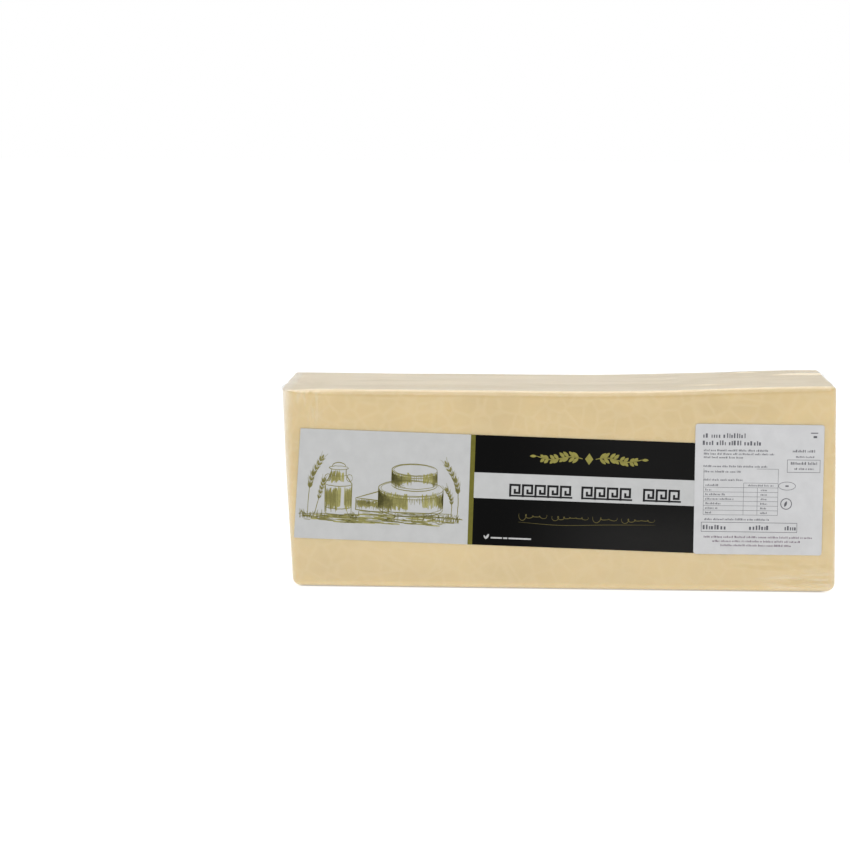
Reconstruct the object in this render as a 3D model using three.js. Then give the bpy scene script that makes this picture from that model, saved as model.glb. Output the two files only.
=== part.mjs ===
// A long block of mild cheddar, sealed in tight clear film, with two paper labels on its front.
// Millimetres. X runs along the block, -Y is the front, Z is up, and the base lies on Z = 0.
// Each shape is worked out about the block's own middle, and the whole is then centred.
import * as THREE from 'three';

const { clamp, degToRad, lerp, smoothstep } = THREE.MathUtils;

// The sealed block
const LENGTH = 346.5;
const DEPTH = 93;
const HEIGHT = 124;            // front top edge, over the left half
const BACK_RISE = 1;           // the back top edge stands this much higher than the front one
const RIGHT_RISE = 4.7;        // how far the top would climb from the left half to RISE_TO
const RISE_FROM = 10;          // where along X the top starts to climb
const RISE_TO = 185;           // where it would level out, a little past the right end
const LEFT_LEAN = 7.5;         // the left end's foot stands in from its top
const RIGHT_LEAN = 1.6;        // the right end's top stands in from its foot
const LEFT_TAPER = 1;          // each end stands in this much more at the back than at the front
const RIGHT_TAPER = 3;
const SIDE_SWELL = 0.6;        // the front and back stand out this much at mid height and length
const END_SWELL = 1;           // each end stands out this much at its middle

// Rounding of the edges under the film. The front edge of the left end has been crushed, and
// the top edges of both ends are tight.
const LONG_TOP_ROUND = { y: 5, z: 4.5 };
const LONG_FOOT_ROUND = { y: 5, z: 5.5 };
const LEFT_TOP_ROUND = { x: 8, y: 16, z: 1.5 };
const LEFT_FOOT_ROUND = { x: 5.5, y: 6, z: 4.6 };
const BACK_LEFT_ROUND = { x: 3, y: 4 };
const RIGHT_TOP_ROUND = { x: 3.5, y: 6, z: 3 };
const RIGHT_FOOT_ROUND = { x: 6, y: 6, z: 5.6 };
const END_REACH = 14;          // how fast an end's roundings pass into those of the long edges

// Facets of the block: steps in each half of a rounding, and along the flats
const ROUND_STEPS = 2;
const FLAT_STEPS = { x: 30, y: 6, z: 10 };

// The long label: its lower left corner on the front, and its size and tilt
const LONG_LABEL = { x: -163.6, z: 31.2, width: 268, height: 68.7, tilt: -1.58, columns: 40, rows: 8 };
const LEFT_SLANT = 2.5;        // its left edge leans in this much at the top
const EDGE_EASE = 1.4;         // brings its columns together at the left, where the block's edge turns

// The weight label, which lies over the right end of the long one
const WEIGHT_LABEL = { x: 84.1, z: 24, width: 78.8, height: 81, tilt: -0.15, columns: 26, rows: 18 };

const PAPER = 0.3;             // thickness of a label
const GAP = 0.1;               // between a label and what it lies on
const STEP_AT = 1;             // the weight label comes down this far past the long one's edges
const STEP_DOWN = 5;           // and over this length

// Middle of the whole, labels included, under which the origin lies
const MIDDLE = { x: 0, y: -0.33 };

const FILM_ON_CHEESE = { color: 0xd7c08f, roughness: 0.28, metalness: 0 };
const LONG_LABEL_PAPER = { color: 0x8f8f8e, roughness: 0.3, metalness: 0 };
const WEIGHT_LABEL_PAPER = { color: 0xd0d0d6, roughness: 0.45, metalness: 0 };

// Radius of the rounding along one axis; u, v and w run along the block's axes from -1 to 1, and
// level is the height's share between foot and top
function radius(axis, u, v, level) {
  const right = (u + 1) / 2;
  const atLeft = lerp(LEFT_FOOT_ROUND[axis], LEFT_TOP_ROUND[axis], level);
  const left = axis === 'z' ? atLeft : lerp(atLeft, BACK_LEFT_ROUND[axis], (v + 1) / 2);
  const far = lerp(RIGHT_FOOT_ROUND[axis], RIGHT_TOP_ROUND[axis], level);
  if (axis === 'x') return lerp(left, far, right);
  const long = lerp(LONG_FOOT_ROUND[axis], LONG_TOP_ROUND[axis], level);
  const nearLeft = Math.exp((-right * LENGTH) / END_REACH);
  const nearRight = Math.exp(((right - 1) * LENGTH) / END_REACH);
  return long + nearLeft * (left - long) + nearRight * (far - long);
}

function rounding(u, v, w) {
  const up = (w + 1) / 2;
  return { x: radius('x', u, v, up ** 2), y: radius('y', u, v, up ** 2), z: radius('z', u, v, up) };
}

function topHeight(x, y) {
  const climb = RIGHT_RISE * smoothstep(x, RISE_FROM, RISE_TO);
  return HEIGHT + climb + BACK_RISE * (y / DEPTH + 0.5);
}

function leftEnd(level) {
  return -LENGTH / 2 + LEFT_LEAN * (1 - level);
}

function rightEnd(level) {
  return LENGTH / 2 - RIGHT_LEAN * level;
}

// How far short of its middle a side stays, from 1 at its edges to 0 at its middle
function sunk(a, b) {
  return 1 - (1 - a * a) * (1 - b * b);
}

// Turns a true box, LENGTH by DEPTH by HEIGHT, into the uneven block: leaning ends, rising top
function settle(x, y, z) {
  const u = x / (LENGTH / 2);
  const v = y / (DEPTH / 2);
  const level = z / HEIGHT;
  const w = 2 * level - 1;
  const back = (v + 1) / 2;
  const left = leftEnd(level) + LEFT_TAPER * back;
  const right = rightEnd(level) - RIGHT_TAPER * back;
  const along = lerp(left, right, (u + 1) / 2);
  return new THREE.Vector3(
    along - u * END_SWELL * sunk(v, w),
    y - v * SIDE_SWELL * sunk(u, w),
    level * topHeight(along, y),
  );
}

// Stops along one axis: flat runs from -1 to 1, closer together near its ends, and arc from -1
// to 1 inside the roundings
function axisStops(flatSteps) {
  const stops = [];
  for (let i = ROUND_STEPS; i > 0; i -= 1) {
    stops.push({ flat: -1, arc: -Math.tan((Math.PI / 4) * (i / ROUND_STEPS)) });
  }
  for (let i = 0; i <= flatSteps; i += 1) {
    stops.push({ flat: Math.sin((Math.PI / 2) * ((2 * i) / flatSteps - 1)), arc: 0 });
  }
  for (let i = 1; i <= ROUND_STEPS; i += 1) {
    stops.push({ flat: 1, arc: Math.tan((Math.PI / 4) * (i / ROUND_STEPS)) });
  }
  return stops;
}

// A point of the block's skin: the flats shrink by the rounding, which then swells out again
function skinPoint(sx, sy, sz) {
  const round = rounding(sx.flat, sy.flat, sz.flat);
  const normal = new THREE.Vector3(sx.arc, sy.arc, sz.arc).normalize();
  return settle(
    sx.flat * (LENGTH / 2 - round.x) + normal.x * round.x,
    sy.flat * (DEPTH / 2 - round.y) + normal.y * round.y,
    HEIGHT / 2 + sz.flat * (HEIGHT / 2 - round.z) + normal.z * round.z,
  );
}

// Distance of the front surface from the middle plane, at a place x, z between its roundings
function frontDepth(x, z) {
  const level = z / topHeight(x, -DEPTH / 2);
  const w = 2 * level - 1;
  const left = leftEnd(level) + END_SWELL;
  const right = rightEnd(level) - END_SWELL;
  const u = (2 * (x - left)) / (right - left) - 1;
  const end = Math.sign(u);
  const flatHalf = HEIGHT / 2 - rounding(end, -1, w).z;
  const round = rounding(end, -1, clamp((w * HEIGHT) / 2 / flatHalf, -1, 1));
  const past = Math.max(0, Math.abs(u) * (LENGTH / 2) - (LENGTH / 2 - round.x));
  const flat = DEPTH / 2 - round.y + round.y * Math.sqrt(1 - (past / round.x) ** 2);
  return flat - SIDE_SWELL * sunk(u, w);
}

// Collects triangles whose corners are shared by position
class Skin {
  constructor() {
    this.points = [];
    this.faces = [];
    this.seen = new Map();
  }

  corner(point) {
    const key = point.toArray().map((n) => Math.round(n * 1e5)).join();
    if (!this.seen.has(key)) {
      this.seen.set(key, this.points.length / 3);
      this.points.push(...point.toArray());
    }
    return this.seen.get(key);
  }

  // A sheet of rows of points, wound so that columns cross rows points outwards
  sheet(rows) {
    for (let i = 0; i + 1 < rows.length; i += 1) {
      for (let j = 0; j + 1 < rows[i].length; j += 1) {
        const a = this.corner(rows[i][j]);
        const b = this.corner(rows[i][j + 1]);
        const c = this.corner(rows[i + 1][j + 1]);
        const d = this.corner(rows[i + 1][j]);
        this.faces.push(a, b, c, a, c, d);
      }
    }
  }

  geometry() {
    const geometry = new THREE.BufferGeometry();
    geometry.setAttribute('position', new THREE.Float32BufferAttribute(this.points, 3));
    geometry.setIndex(this.faces);
    geometry.computeVertexNormals();
    return geometry;
  }
}

function namedMesh(name, geometry, finish) {
  const mesh = new THREE.Mesh(geometry, new THREE.MeshStandardMaterial(finish));
  mesh.name = name;
  return mesh;
}

// The cheese in its film, one solid out to the film
function sealedBlock() {
  const skin = new Skin();
  const xs = axisStops(FLAT_STEPS.x);
  const ys = axisStops(FLAT_STEPS.y);
  const zs = axisStops(FLAT_STEPS.z);
  for (const side of [-1, 1]) {
    const wall = { flat: side, arc: side };
    const turn = (list) => (side > 0 ? list : [...list].reverse());
    skin.sheet(turn(ys).map((y) => zs.map((z) => skinPoint(wall, y, z))).reverse());
    skin.sheet(turn(zs).map((z) => xs.map((x) => skinPoint(x, wall, z))).reverse());
    skin.sheet(turn(xs).map((x) => ys.map((y) => skinPoint(x, y, wall))).reverse());
  }
  return namedMesh('sealed_block', skin.geometry(), FILM_ON_CHEESE);
}

// How far a place on the front lies outside the long label, past its right, top or bottom edge
function outsideLongLabel(x, z) {
  const tilt = degToRad(LONG_LABEL.tilt);
  const dx = x - LONG_LABEL.x;
  const dz = z - LONG_LABEL.z;
  const a = dx * Math.cos(tilt) + dz * Math.sin(tilt);
  const b = dz * Math.cos(tilt) - dx * Math.sin(tilt);
  return Math.max(a - LONG_LABEL.width, b - LONG_LABEL.height, -b);
}

// A thin sheet over the front: ease spaces its columns, slant is how far its left edge leans in
// at the top, and lift gives its distance from the block at each place
function frontPlate(name, label, ease, slant, lift, finish) {
  const skin = new Skin();
  const tilt = degToRad(label.tilt);
  const place = (i, j, out) => {
    const start = (slant * j) / label.rows;
    const a = lerp(start, label.width, (i / label.columns) ** ease);
    const b = (label.height * j) / label.rows;
    const x = label.x + a * Math.cos(tilt) - b * Math.sin(tilt);
    const z = label.z + a * Math.sin(tilt) + b * Math.cos(tilt);
    return new THREE.Vector3(x, -frontDepth(x, z) - lift(x, z) - out, z);
  };
  const count = (n) => Array.from({ length: n + 1 }, (_, i) => i);
  const columns = count(label.columns);
  const rows = count(label.rows);
  const backToFront = [0, PAPER];
  const frontToBack = [PAPER, 0];
  skin.sheet(rows.map((j) => columns.map((i) => place(i, j, PAPER))));
  skin.sheet([...rows].reverse().map((j) => columns.map((i) => place(i, j, 0))));
  skin.sheet(backToFront.map((out) => columns.map((i) => place(i, 0, out))));
  skin.sheet(frontToBack.map((out) => columns.map((i) => place(i, label.rows, out))));
  skin.sheet(frontToBack.map((out) => rows.map((j) => place(0, j, out))));
  skin.sheet(backToFront.map((out) => rows.map((j) => place(label.columns, j, out))));
  return namedMesh(name, skin.geometry(), finish);
}

function longLabel() {
  return frontPlate('long_label', LONG_LABEL, EDGE_EASE, LEFT_SLANT, () => GAP, LONG_LABEL_PAPER);
}

// The weight label lies on the long one, and round it on the block
function weightLabel() {
  const onTop = GAP + PAPER + GAP;
  const lift = (x, z) => {
    const down = smoothstep(outsideLongLabel(x, z), STEP_AT, STEP_AT + STEP_DOWN);
    return lerp(onTop, GAP, down);
  };
  return frontPlate('weight_label', WEIGHT_LABEL, 1, 0, lift, WEIGHT_LABEL_PAPER);
}

const block = new THREE.Group();
block.name = 'cheddar_block';
block.add(sealedBlock(), longLabel(), weightLabel());
block.position.set(-MIDDLE.x, -MIDDLE.y, 0);

export default block;
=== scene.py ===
import math
from collections import namedtuple

import bpy
import numpy as np
from mathutils import Matrix, Vector
from mathutils.geometry import delaunay_2d_cdt


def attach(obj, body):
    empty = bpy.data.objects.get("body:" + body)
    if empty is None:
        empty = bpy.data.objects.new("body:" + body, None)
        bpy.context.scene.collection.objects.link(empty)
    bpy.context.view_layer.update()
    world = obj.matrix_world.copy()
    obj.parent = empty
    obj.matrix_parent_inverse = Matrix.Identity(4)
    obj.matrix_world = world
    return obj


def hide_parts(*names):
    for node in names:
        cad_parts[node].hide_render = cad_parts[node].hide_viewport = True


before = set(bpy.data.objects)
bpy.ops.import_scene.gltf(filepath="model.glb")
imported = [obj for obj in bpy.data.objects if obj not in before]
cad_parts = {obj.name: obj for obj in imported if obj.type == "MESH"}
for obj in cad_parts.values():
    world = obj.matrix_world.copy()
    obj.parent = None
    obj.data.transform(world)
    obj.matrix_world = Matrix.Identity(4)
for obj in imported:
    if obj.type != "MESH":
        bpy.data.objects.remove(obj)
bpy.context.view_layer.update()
MM = 0.001

# The sealed block, as its solid has it
LENGTH, DEPTH, HEIGHT = 346.5, 93.0, 124.0
BACK_RISE, RIGHT_RISE = 1.0, 4.7
RISE_FROM, RISE_TO = 10.0, 185.0
LEFT_LEAN, RIGHT_LEAN = 7.5, 1.6
LEFT_TAPER, RIGHT_TAPER = 1.0, 3.0
SIDE_SWELL, END_SWELL = 0.6, 1.0
LONG_TOP_ROUND, LONG_FOOT_ROUND = {"y": 5.0, "z": 4.5}, {"y": 5.0, "z": 5.5}
LEFT_TOP_ROUND, LEFT_FOOT_ROUND = {"x": 8.0, "y": 16.0, "z": 1.5}, {"x": 5.5, "y": 6.0, "z": 4.6}
BACK_LEFT_ROUND = {"x": 3.0, "y": 4.0}
RIGHT_TOP_ROUND, RIGHT_FOOT_ROUND = {"x": 3.5, "y": 6.0, "z": 3.0}, {"x": 6.0, "y": 6.0, "z": 5.6}
END_REACH = 14.0
MIDDLE = (0.0, -0.33)

# The labels: lower left corner, size and tilt on the front, as their solids have them
LONG_LABEL = {
    "x": -163.6, "z": 31.2, "width": 268.0, "height": 68.7, "tilt": -1.58, "corner": 0.4, "slant": 2.5
}
WEIGHT_LABEL = {"x": 84.1, "z": 24.0, "width": 78.8, "height": 81.0, "tilt": -0.15, "corner": 1.6}
PAPER = 0.18
GAP = 0.06
STEP_AT, STEP_DOWN = 0.4, 4.0

# How finely the skins are cut
SKIN_STEPS = {"round": 5, "x": 190, "y": 84, "z": 78}
CHEESE_STEPS = {"round": 5, "x": 130, "y": 36, "z": 50}
UNDER_FILM = 0.25
SETTLED_WAVE, SETTLED_DEPTH = 55.0, 0.1
TOP_WAVE, TOP_DEPTH = 22.0, 0.12


def lerp(a, b, t):
    return a + (b - a) * t


def smoothstep(x, low, high):
    t = np.clip((x - low) / (high - low), 0, 1)
    return t * t * (3 - 2 * t)


# The block's form

def rounding(u, v, w):
    """Radii along x, y and z; u, v and w run along the block's axes from -1 to 1."""
    up, back, right = (w + 1) / 2, (v + 1) / 2, (u + 1) / 2
    near_left = np.exp(-right * LENGTH / END_REACH)
    near_right = np.exp(-(1 - right) * LENGTH / END_REACH)

    def radius(axis, level):
        left = lerp(LEFT_FOOT_ROUND[axis], LEFT_TOP_ROUND[axis], level)
        if axis in BACK_LEFT_ROUND:
            left = lerp(left, BACK_LEFT_ROUND[axis], back)
        far = lerp(RIGHT_FOOT_ROUND[axis], RIGHT_TOP_ROUND[axis], level)
        if axis == "x":
            return lerp(left, far, right)
        long = lerp(LONG_FOOT_ROUND[axis], LONG_TOP_ROUND[axis], level)
        return long + near_left * (left - long) + near_right * (far - long)

    return radius("x", up**2), radius("y", up**2), radius("z", up)


def top_height(x, y):
    return HEIGHT + RIGHT_RISE * smoothstep(x, RISE_FROM, RISE_TO) + BACK_RISE * (y / DEPTH + 0.5)


def left_end(level):
    return -LENGTH / 2 + LEFT_LEAN * (1 - level)


def right_end(level):
    return LENGTH / 2 - RIGHT_LEAN * level


def sunk(a, b):
    """How far short of its middle a side stays, from 1 at its edges to 0 at its middle."""
    return 1 - (1 - a * a) * (1 - b * b)


def settle(x, y, z):
    """Turns a true box into the uneven block: leaning ends and a rising top."""
    u, v, level = x / (LENGTH / 2), y / (DEPTH / 2), z / HEIGHT
    w = 2 * level - 1
    back = (v + 1) / 2
    left, right = left_end(level) + LEFT_TAPER * back, right_end(level) - RIGHT_TAPER * back
    along = lerp(left, right, (u + 1) / 2)
    return np.stack(
        [
            along - u * END_SWELL * sunk(v, w),
            y - v * SIDE_SWELL * sunk(u, w),
            level * top_height(along, y),
        ],
        -1,
    )


def waves(points, wave, seed, stretch=(1, 1, 1), count=7):
    """A smooth unevenness between about -1 and 1, from a few crossing waves."""
    rng = np.random.default_rng(seed)
    total = 0
    for _ in range(count):
        way = rng.normal(size=3)
        way = way / np.linalg.norm(way) / np.array(stretch)
        turns = points @ way / (wave * rng.uniform(0.7, 1.4))
        total = total + np.sin(2 * math.pi * (turns + rng.random()))
    return total / math.sqrt(count)


def settled(points):
    """The slight unevenness of the cheese's sides, which the film and the labels follow."""
    on_top = smoothstep(points[..., 2], HEIGHT - 8, HEIGHT)
    long_ripples = waves(points, TOP_WAVE, 4, stretch=(5, 1, 1))
    return SETTLED_DEPTH * waves(points, SETTLED_WAVE, 3) + on_top * TOP_DEPTH * long_ripples


def front_depth(x, z):
    """Distance of the front surface from the middle plane, at a place between its roundings."""
    level = z / top_height(x, -DEPTH / 2)
    w = 2 * level - 1
    left, right = left_end(level) + END_SWELL, right_end(level) - END_SWELL
    u = 2 * (x - left) / (right - left) - 1
    end = np.sign(u)
    flat_half = HEIGHT / 2 - rounding(end, -1.0, w)[2]
    round_x, round_y, _ = rounding(end, -1.0, np.clip(w * HEIGHT / 2 / flat_half, -1, 1))
    past = np.clip(np.abs(u) * LENGTH / 2 - (LENGTH / 2 - round_x), 0, None)
    flat = DEPTH / 2 - round_y + round_y * np.sqrt(1 - (past / round_x) ** 2)
    bare = flat - SIDE_SWELL * sunk(u, w)
    return bare + settled(np.stack([x, -bare, z], -1))


# Meshes

def new_piece(name, points, faces, materials, face_materials=None, smooth=True):
    """An object from points in millimetres about the block's middle."""
    places = (np.asarray(points) - np.array([MIDDLE[0], MIDDLE[1], 0])) * MM
    mesh = bpy.data.meshes.new(name)
    mesh.from_pydata(places.tolist(), [], [list(map(int, f)) for f in faces])
    for material in materials:
        mesh.materials.append(material)
    if face_materials is not None:
        mesh.polygons.foreach_set("material_index", np.asarray(face_materials, dtype=np.int32))
    mesh.polygons.foreach_set("use_smooth", [smooth] * len(mesh.polygons))
    mesh.update()
    piece = bpy.data.objects.new(name, mesh)
    bpy.context.scene.collection.objects.link(piece)
    return piece


def axis_stops(steps, round_steps):
    """Stops along one axis: flat, from -1 to 1, and arc, from -1 to 1 inside the roundings."""
    arc = np.tan(np.linspace(0, math.pi / 4, round_steps + 1))[1:]
    t = np.linspace(-1, 1, steps + 1)
    flat = lerp(t, np.sin(t * math.pi / 2), 0.5)
    return (
        np.concatenate([-np.ones(round_steps), flat, np.ones(round_steps)]),
        np.concatenate([-arc[::-1], np.zeros(steps + 1), arc]),
    )


def sheet(steps, axis, side, relief):
    """One face of the block and half of the roundings round it, as two grids of points: before
    and after relief(points, normals) moves them out."""
    a, b = (axis + 1) % 3, (axis + 2) % 3
    stops = [axis_stops(steps[i], steps["round"]) for i in "xyz"]
    shape = (len(stops[a][0]), len(stops[b][0]), 3)
    flat, arc = np.full(shape, float(side)), np.full(shape, float(side))
    flat[..., a], flat[..., b] = np.meshgrid(stops[a][0], stops[b][0], indexing="ij")
    arc[..., a], arc[..., b] = np.meshgrid(stops[a][1], stops[b][1], indexing="ij")
    flat, arc = flat.reshape(-1, 3), arc.reshape(-1, 3)
    normals = arc / np.linalg.norm(arc, axis=1, keepdims=True)
    radii = np.stack(rounding(*flat.T), -1)
    half = np.array([LENGTH, DEPTH, HEIGHT]) / 2
    middle = np.array([0, 0, HEIGHT / 2])
    nominal = settle(*(middle + flat * (half - radii) + normals * radii).T)
    points = nominal + normals * relief(nominal, normals)[:, None]
    return nominal.reshape(shape), points.reshape(shape)


def skin(steps, relief):
    """The block's whole skin, its faces joined where they meet. Gives points and quads."""
    nominal, points, faces, start = [], [], [], 0
    for axis in range(3):
        for side in (-1, 1):
            places, moved = sheet(steps, axis, side, relief)
            rows, columns, _ = moved.shape
            corner = start + np.arange(rows * columns).reshape(rows, columns)
            quads = [corner[:-1, :-1], corner[1:, :-1], corner[1:, 1:], corner[:-1, 1:]]
            quads = quads if side > 0 else quads[::-1]
            faces.append(np.stack([q.ravel() for q in quads], -1))
            nominal.append(places.reshape(-1, 3))
            points.append(moved.reshape(-1, 3))
            start += rows * columns
    _, first, merged = np.unique(
        np.round(np.concatenate(nominal), 4), axis=0, return_index=True, return_inverse=True
    )
    return np.concatenate(points)[first], merged.ravel()[np.concatenate(faces)]


def triangles(outline, inside=(), lines=()):
    """Fills an outline with triangles through the given inside points and along the lines."""
    points, edges = [Vector(p) for p in outline], []
    ring = list(range(len(points)))
    for line in lines:
        start = len(points)
        points += [Vector(p) for p in line]
        edges += [(i, i + 1) for i in range(start, start + len(line) - 1)]
    points += [Vector(p) for p in inside]
    found = delaunay_2d_cdt(points, edges, [ring], 1, 1e-5)
    return np.array([p[:] for p in found[0]]), [tuple(f) for f in found[2]]


def thin_solid(points, faces, place, foot, head):
    """A sheet of triangles given a thickness, from foot to head. Gives points, faces, fronts."""
    count = len(points)
    a, b = points[:, 0], points[:, 1]
    all_points = np.concatenate([place(a, b, head), place(a, b, foot)])
    used = {}
    for face in faces:
        for i, j in zip(face, face[1:] + face[:1]):
            used[(i, j)] = used.get((i, j), 0) + 1
    rim = [(j, i, i + count, j + count) for i, j in used if (j, i) not in used]
    back = [tuple(i + count for i in reversed(face)) for face in faces]
    return all_points, list(faces) + back + rim, len(faces)


def spaced(a, b, step):
    """Points from a up to b, b left out, at most a step apart."""
    count = max(1, math.ceil(math.dist(a, b) / step))
    return [tuple(lerp(p, q, i / count) for p, q in zip(a, b)) for i in range(count)]


def slanted(points, label):
    """Moves places on a label in towards its right, by its left edge's slant at their height."""
    lean, width, height = label.get("slant", 0.0), label["width"], label["height"]
    return [(a + lean * (b / height) * (1 - a / width), b) for a, b in points]


def rounded_outline(width, height, radius, step):
    """A rectangle with rounded corners, from its lower right corner on."""
    corners = [(width - radius, radius, -90), (width - radius, height - radius, 0)]
    corners += [(radius, height - radius, 90), (radius, radius, 180)]
    arcs = []
    for a, b, turn in corners:
        angles = [math.radians(turn + 90 * i / 6) for i in range(7)]
        arcs.append([(a + radius * math.cos(t), b + radius * math.sin(t)) for t in angles])
    outline = []
    for arc, following in zip(arcs, arcs[1:] + arcs[:1]):
        outline += arc[:-1] + spaced(arc[-1], following[0], step)
    return outline


# Places on the labels

def on_front(label, a, b):
    """The x and z of a place on a label, a along it and b up it from its lower left corner."""
    tilt = math.radians(label["tilt"])
    x = label["x"] + a * math.cos(tilt) - b * math.sin(tilt)
    z = label["z"] + a * math.sin(tilt) + b * math.cos(tilt)
    return x, z


def on_label(label, x, z):
    """The reverse of on_front: how far along and up a label a place on the front lies."""
    tilt = math.radians(label["tilt"])
    dx, dz = x - label["x"], z - label["z"]
    a = dx * math.cos(tilt) + dz * math.sin(tilt)
    b = dz * math.cos(tilt) - dx * math.sin(tilt)
    return a, b


def outside_long_label(x, z):
    """How far a place on the front lies past the long label's right, top or bottom edge."""
    a, b = on_label(LONG_LABEL, x, z)
    return np.maximum(np.maximum(a - LONG_LABEL["width"], b - LONG_LABEL["height"]), -b)


def on_long_label(a, b, out):
    x, z = on_front(LONG_LABEL, a, b)
    return np.stack([x, -front_depth(x, z) - GAP - out, z], -1)


def on_weight_label(a, b, out):
    """The weight label lies on the long one, and round it on the block."""
    x, z = on_front(WEIGHT_LABEL, a, b)
    down = smoothstep(outside_long_label(x, z), STEP_AT, STEP_AT + STEP_DOWN)
    lift = lerp(GAP + PAPER + GAP, GAP, down)
    return np.stack([x, -front_depth(x, z) - lift - out, z], -1)


# Materials

def set_stops(ramp, stops):
    """Gives a colour ramp its stops, which are (position, linear colour)."""
    elements = ramp.color_ramp.elements
    while len(elements) < len(stops):
        elements.new(0.5)
    for element, (position, colour) in zip(elements, stops):
        element.position = position
        element.color = (*colour, 1)


class Look:
    """A material being built: its tree, its main shader and a few common nodes."""

    def __init__(self, name):
        self.material = bpy.data.materials.new(name)
        self.material.use_nodes = True
        self.tree = self.material.node_tree
        self.shader = self.tree.nodes["Principled BSDF"]
        self.place = self.node("TexCoord").outputs["Object"]

    def node(self, kind, inputs=None, **settings):
        """A new shader node; inputs has a value or another node's socket for each of its own."""
        node = self.tree.nodes.new("ShaderNode" + kind)
        for key, value in settings.items():
            setattr(node, key, value)
        for key, value in (inputs or {}).items():
            self.feed(value, node.inputs[key])
        return node

    def feed(self, value, target):
        if isinstance(value, bpy.types.NodeSocket):
            self.tree.links.new(value, target)
        else:
            target.default_value = value

    def set(self, **values):
        """Feeds the main shader's inputs, with _ for the spaces in their names."""
        for key, value in values.items():
            self.feed(value, self.shader.inputs[key.replace("_", " ")])

    def noise(self, size, detail=2.0, stretch=None, roughness=0.5, distortion=0.0):
        """Noise whose features are about size metres across."""
        place = self.place
        if stretch is not None:
            place = self.node("Mapping", {"Scale": stretch, "Vector": place}).outputs["Vector"]
        inputs = {"Scale": 1 / size, "Detail": detail, "Roughness": roughness}
        inputs.update({"Distortion": distortion, "Vector": place})
        return self.node("TexNoise", inputs).outputs["Fac"]

    def ramp(self, source, stops):
        """Colours along a 0 to 1 value."""
        ramp = self.node("ValToRGB", {"Fac": source})
        set_stops(ramp, stops)
        return ramp.outputs["Color"]

    def uneven(self, source, colour, low, high):
        """A colour that varies with a noise, from a low to a high share of itself."""
        stops = ((0.3, low), (0.7, high))
        return self.ramp(source, [(at, tuple(c * share for c in colour)) for at, share in stops])

    def mix(self, first, second, amount, blend="MIX"):
        """Mixes two colours, which are the node's sockets 6 and 7, and its output 2."""
        first, second = ((*c, 1) if isinstance(c, tuple) else c for c in (first, second))
        inputs = {6: first, 7: second, 0: amount}
        return self.node("Mix", inputs, data_type="RGBA", blend_type=blend).outputs[2]

    def fade(self, axis, start, end):
        """Rises smoothly from 0 to 1 between two places along an axis, in metres."""
        place = self.node("SeparateXYZ", {0: self.place}).outputs[axis]
        inputs = {"Value": place, "From Min": start, "From Max": end}
        return self.node("MapRange", inputs, interpolation_type="SMOOTHSTEP").outputs["Result"]

    def math(self, operation, first, second):
        """A sum, product or such of two values, each a socket or a number."""
        return self.node("Math", {0: first, 1: second}, operation=operation).outputs[0]

    def times(self, first, second):
        return self.math("MULTIPLY", first, second)

    def blend(self, first, second, share):
        """A shader that is the first one, and by the given share the second."""
        return self.node("MixShader", {"Fac": share, 1: first, 2: second}).outputs["Shader"]

    def bump(self, source, height, after=None):
        """Relief of the given height in metres, on top of an earlier relief."""
        inputs = {"Strength": 1.0, "Distance": height, "Height": source}
        if after is not None:
            inputs["Normal"] = after
        return self.node("Bump", inputs).outputs["Normal"]

    def on_paper(self, base, roughness, specular):
        """Finishes the look of bare or printed paper, which has a fine grain."""
        grain = self.bump(self.noise(0.0006, 2.0), 0.00001)
        self.set(Base_Color=base, Normal=grain, Roughness=roughness, Specular_IOR_Level=specular)
        return self.material


CHEESE = (0.672, 0.511, 0.251)
PALER = (0.74, 0.6, 0.36)
CLOUD, CURD = 0.03, 0.011
# How much paler the knit lines are, and how much paler the foot is painted, as painted light from the
# floor below the fade that follows
KNIT_PALER, PAINTED_FLOOR_LIGHT_SHARE = 0.3, 0.25
PAINTED_FLOOR_LIGHT = ("Z", 0.07, 0.02)


def cheese_look():
    """Pale pressed curd: faint knit lines between curds, soft cloudiness, light through it, and painted
    light from the floor that makes it paler towards its foot.
    """
    look = Look("cheddar")
    clouds = look.noise(CLOUD, 5.0, stretch=(0.6, 1.0, 1.0), roughness=0.6)
    inputs = {"Scale": 1 / CURD, "Vector": look.place}
    curds = look.node("TexVoronoi", inputs, feature="DISTANCE_TO_EDGE")
    base = look.uneven(clouds, CHEESE, 0.93, 1.065)
    knit = look.ramp(curds.outputs["Distance"], [(0.0, (1.0, 1.0, 1.0)), (0.12, (0.0, 0.0, 0.0))])
    colour = look.mix(base, PALER, look.times(knit, KNIT_PALER))
    # Painted light from the floor: paler towards the foot
    colour = look.mix(colour, PALER, look.times(look.fade(*PAINTED_FLOOR_LIGHT), PAINTED_FLOOR_LIGHT_SHARE))
    look.set(Base_Color=colour, Normal=look.bump(look.noise(0.0012, 3.0), 0.00004))
    look.set(Roughness=0.5, Specular_IOR_Level=0.2)
    look.set(Subsurface_Weight=0.3, Subsurface_Scale=0.005, Subsurface_Radius=(1.0, 0.6, 0.3))
    return look.material


# The film's clear tint, and the white of its painted reflection and painted glints
FILM_TINT, PAINTED_GLARE_WHITE = (0.99, 0.99, 0.985, 1), (0.93, 0.93, 0.93, 1)
FILM_IOR, FILM_ROUGHNESS, MOST_SHINE = 1.5, 0.17, 0.5

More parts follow.
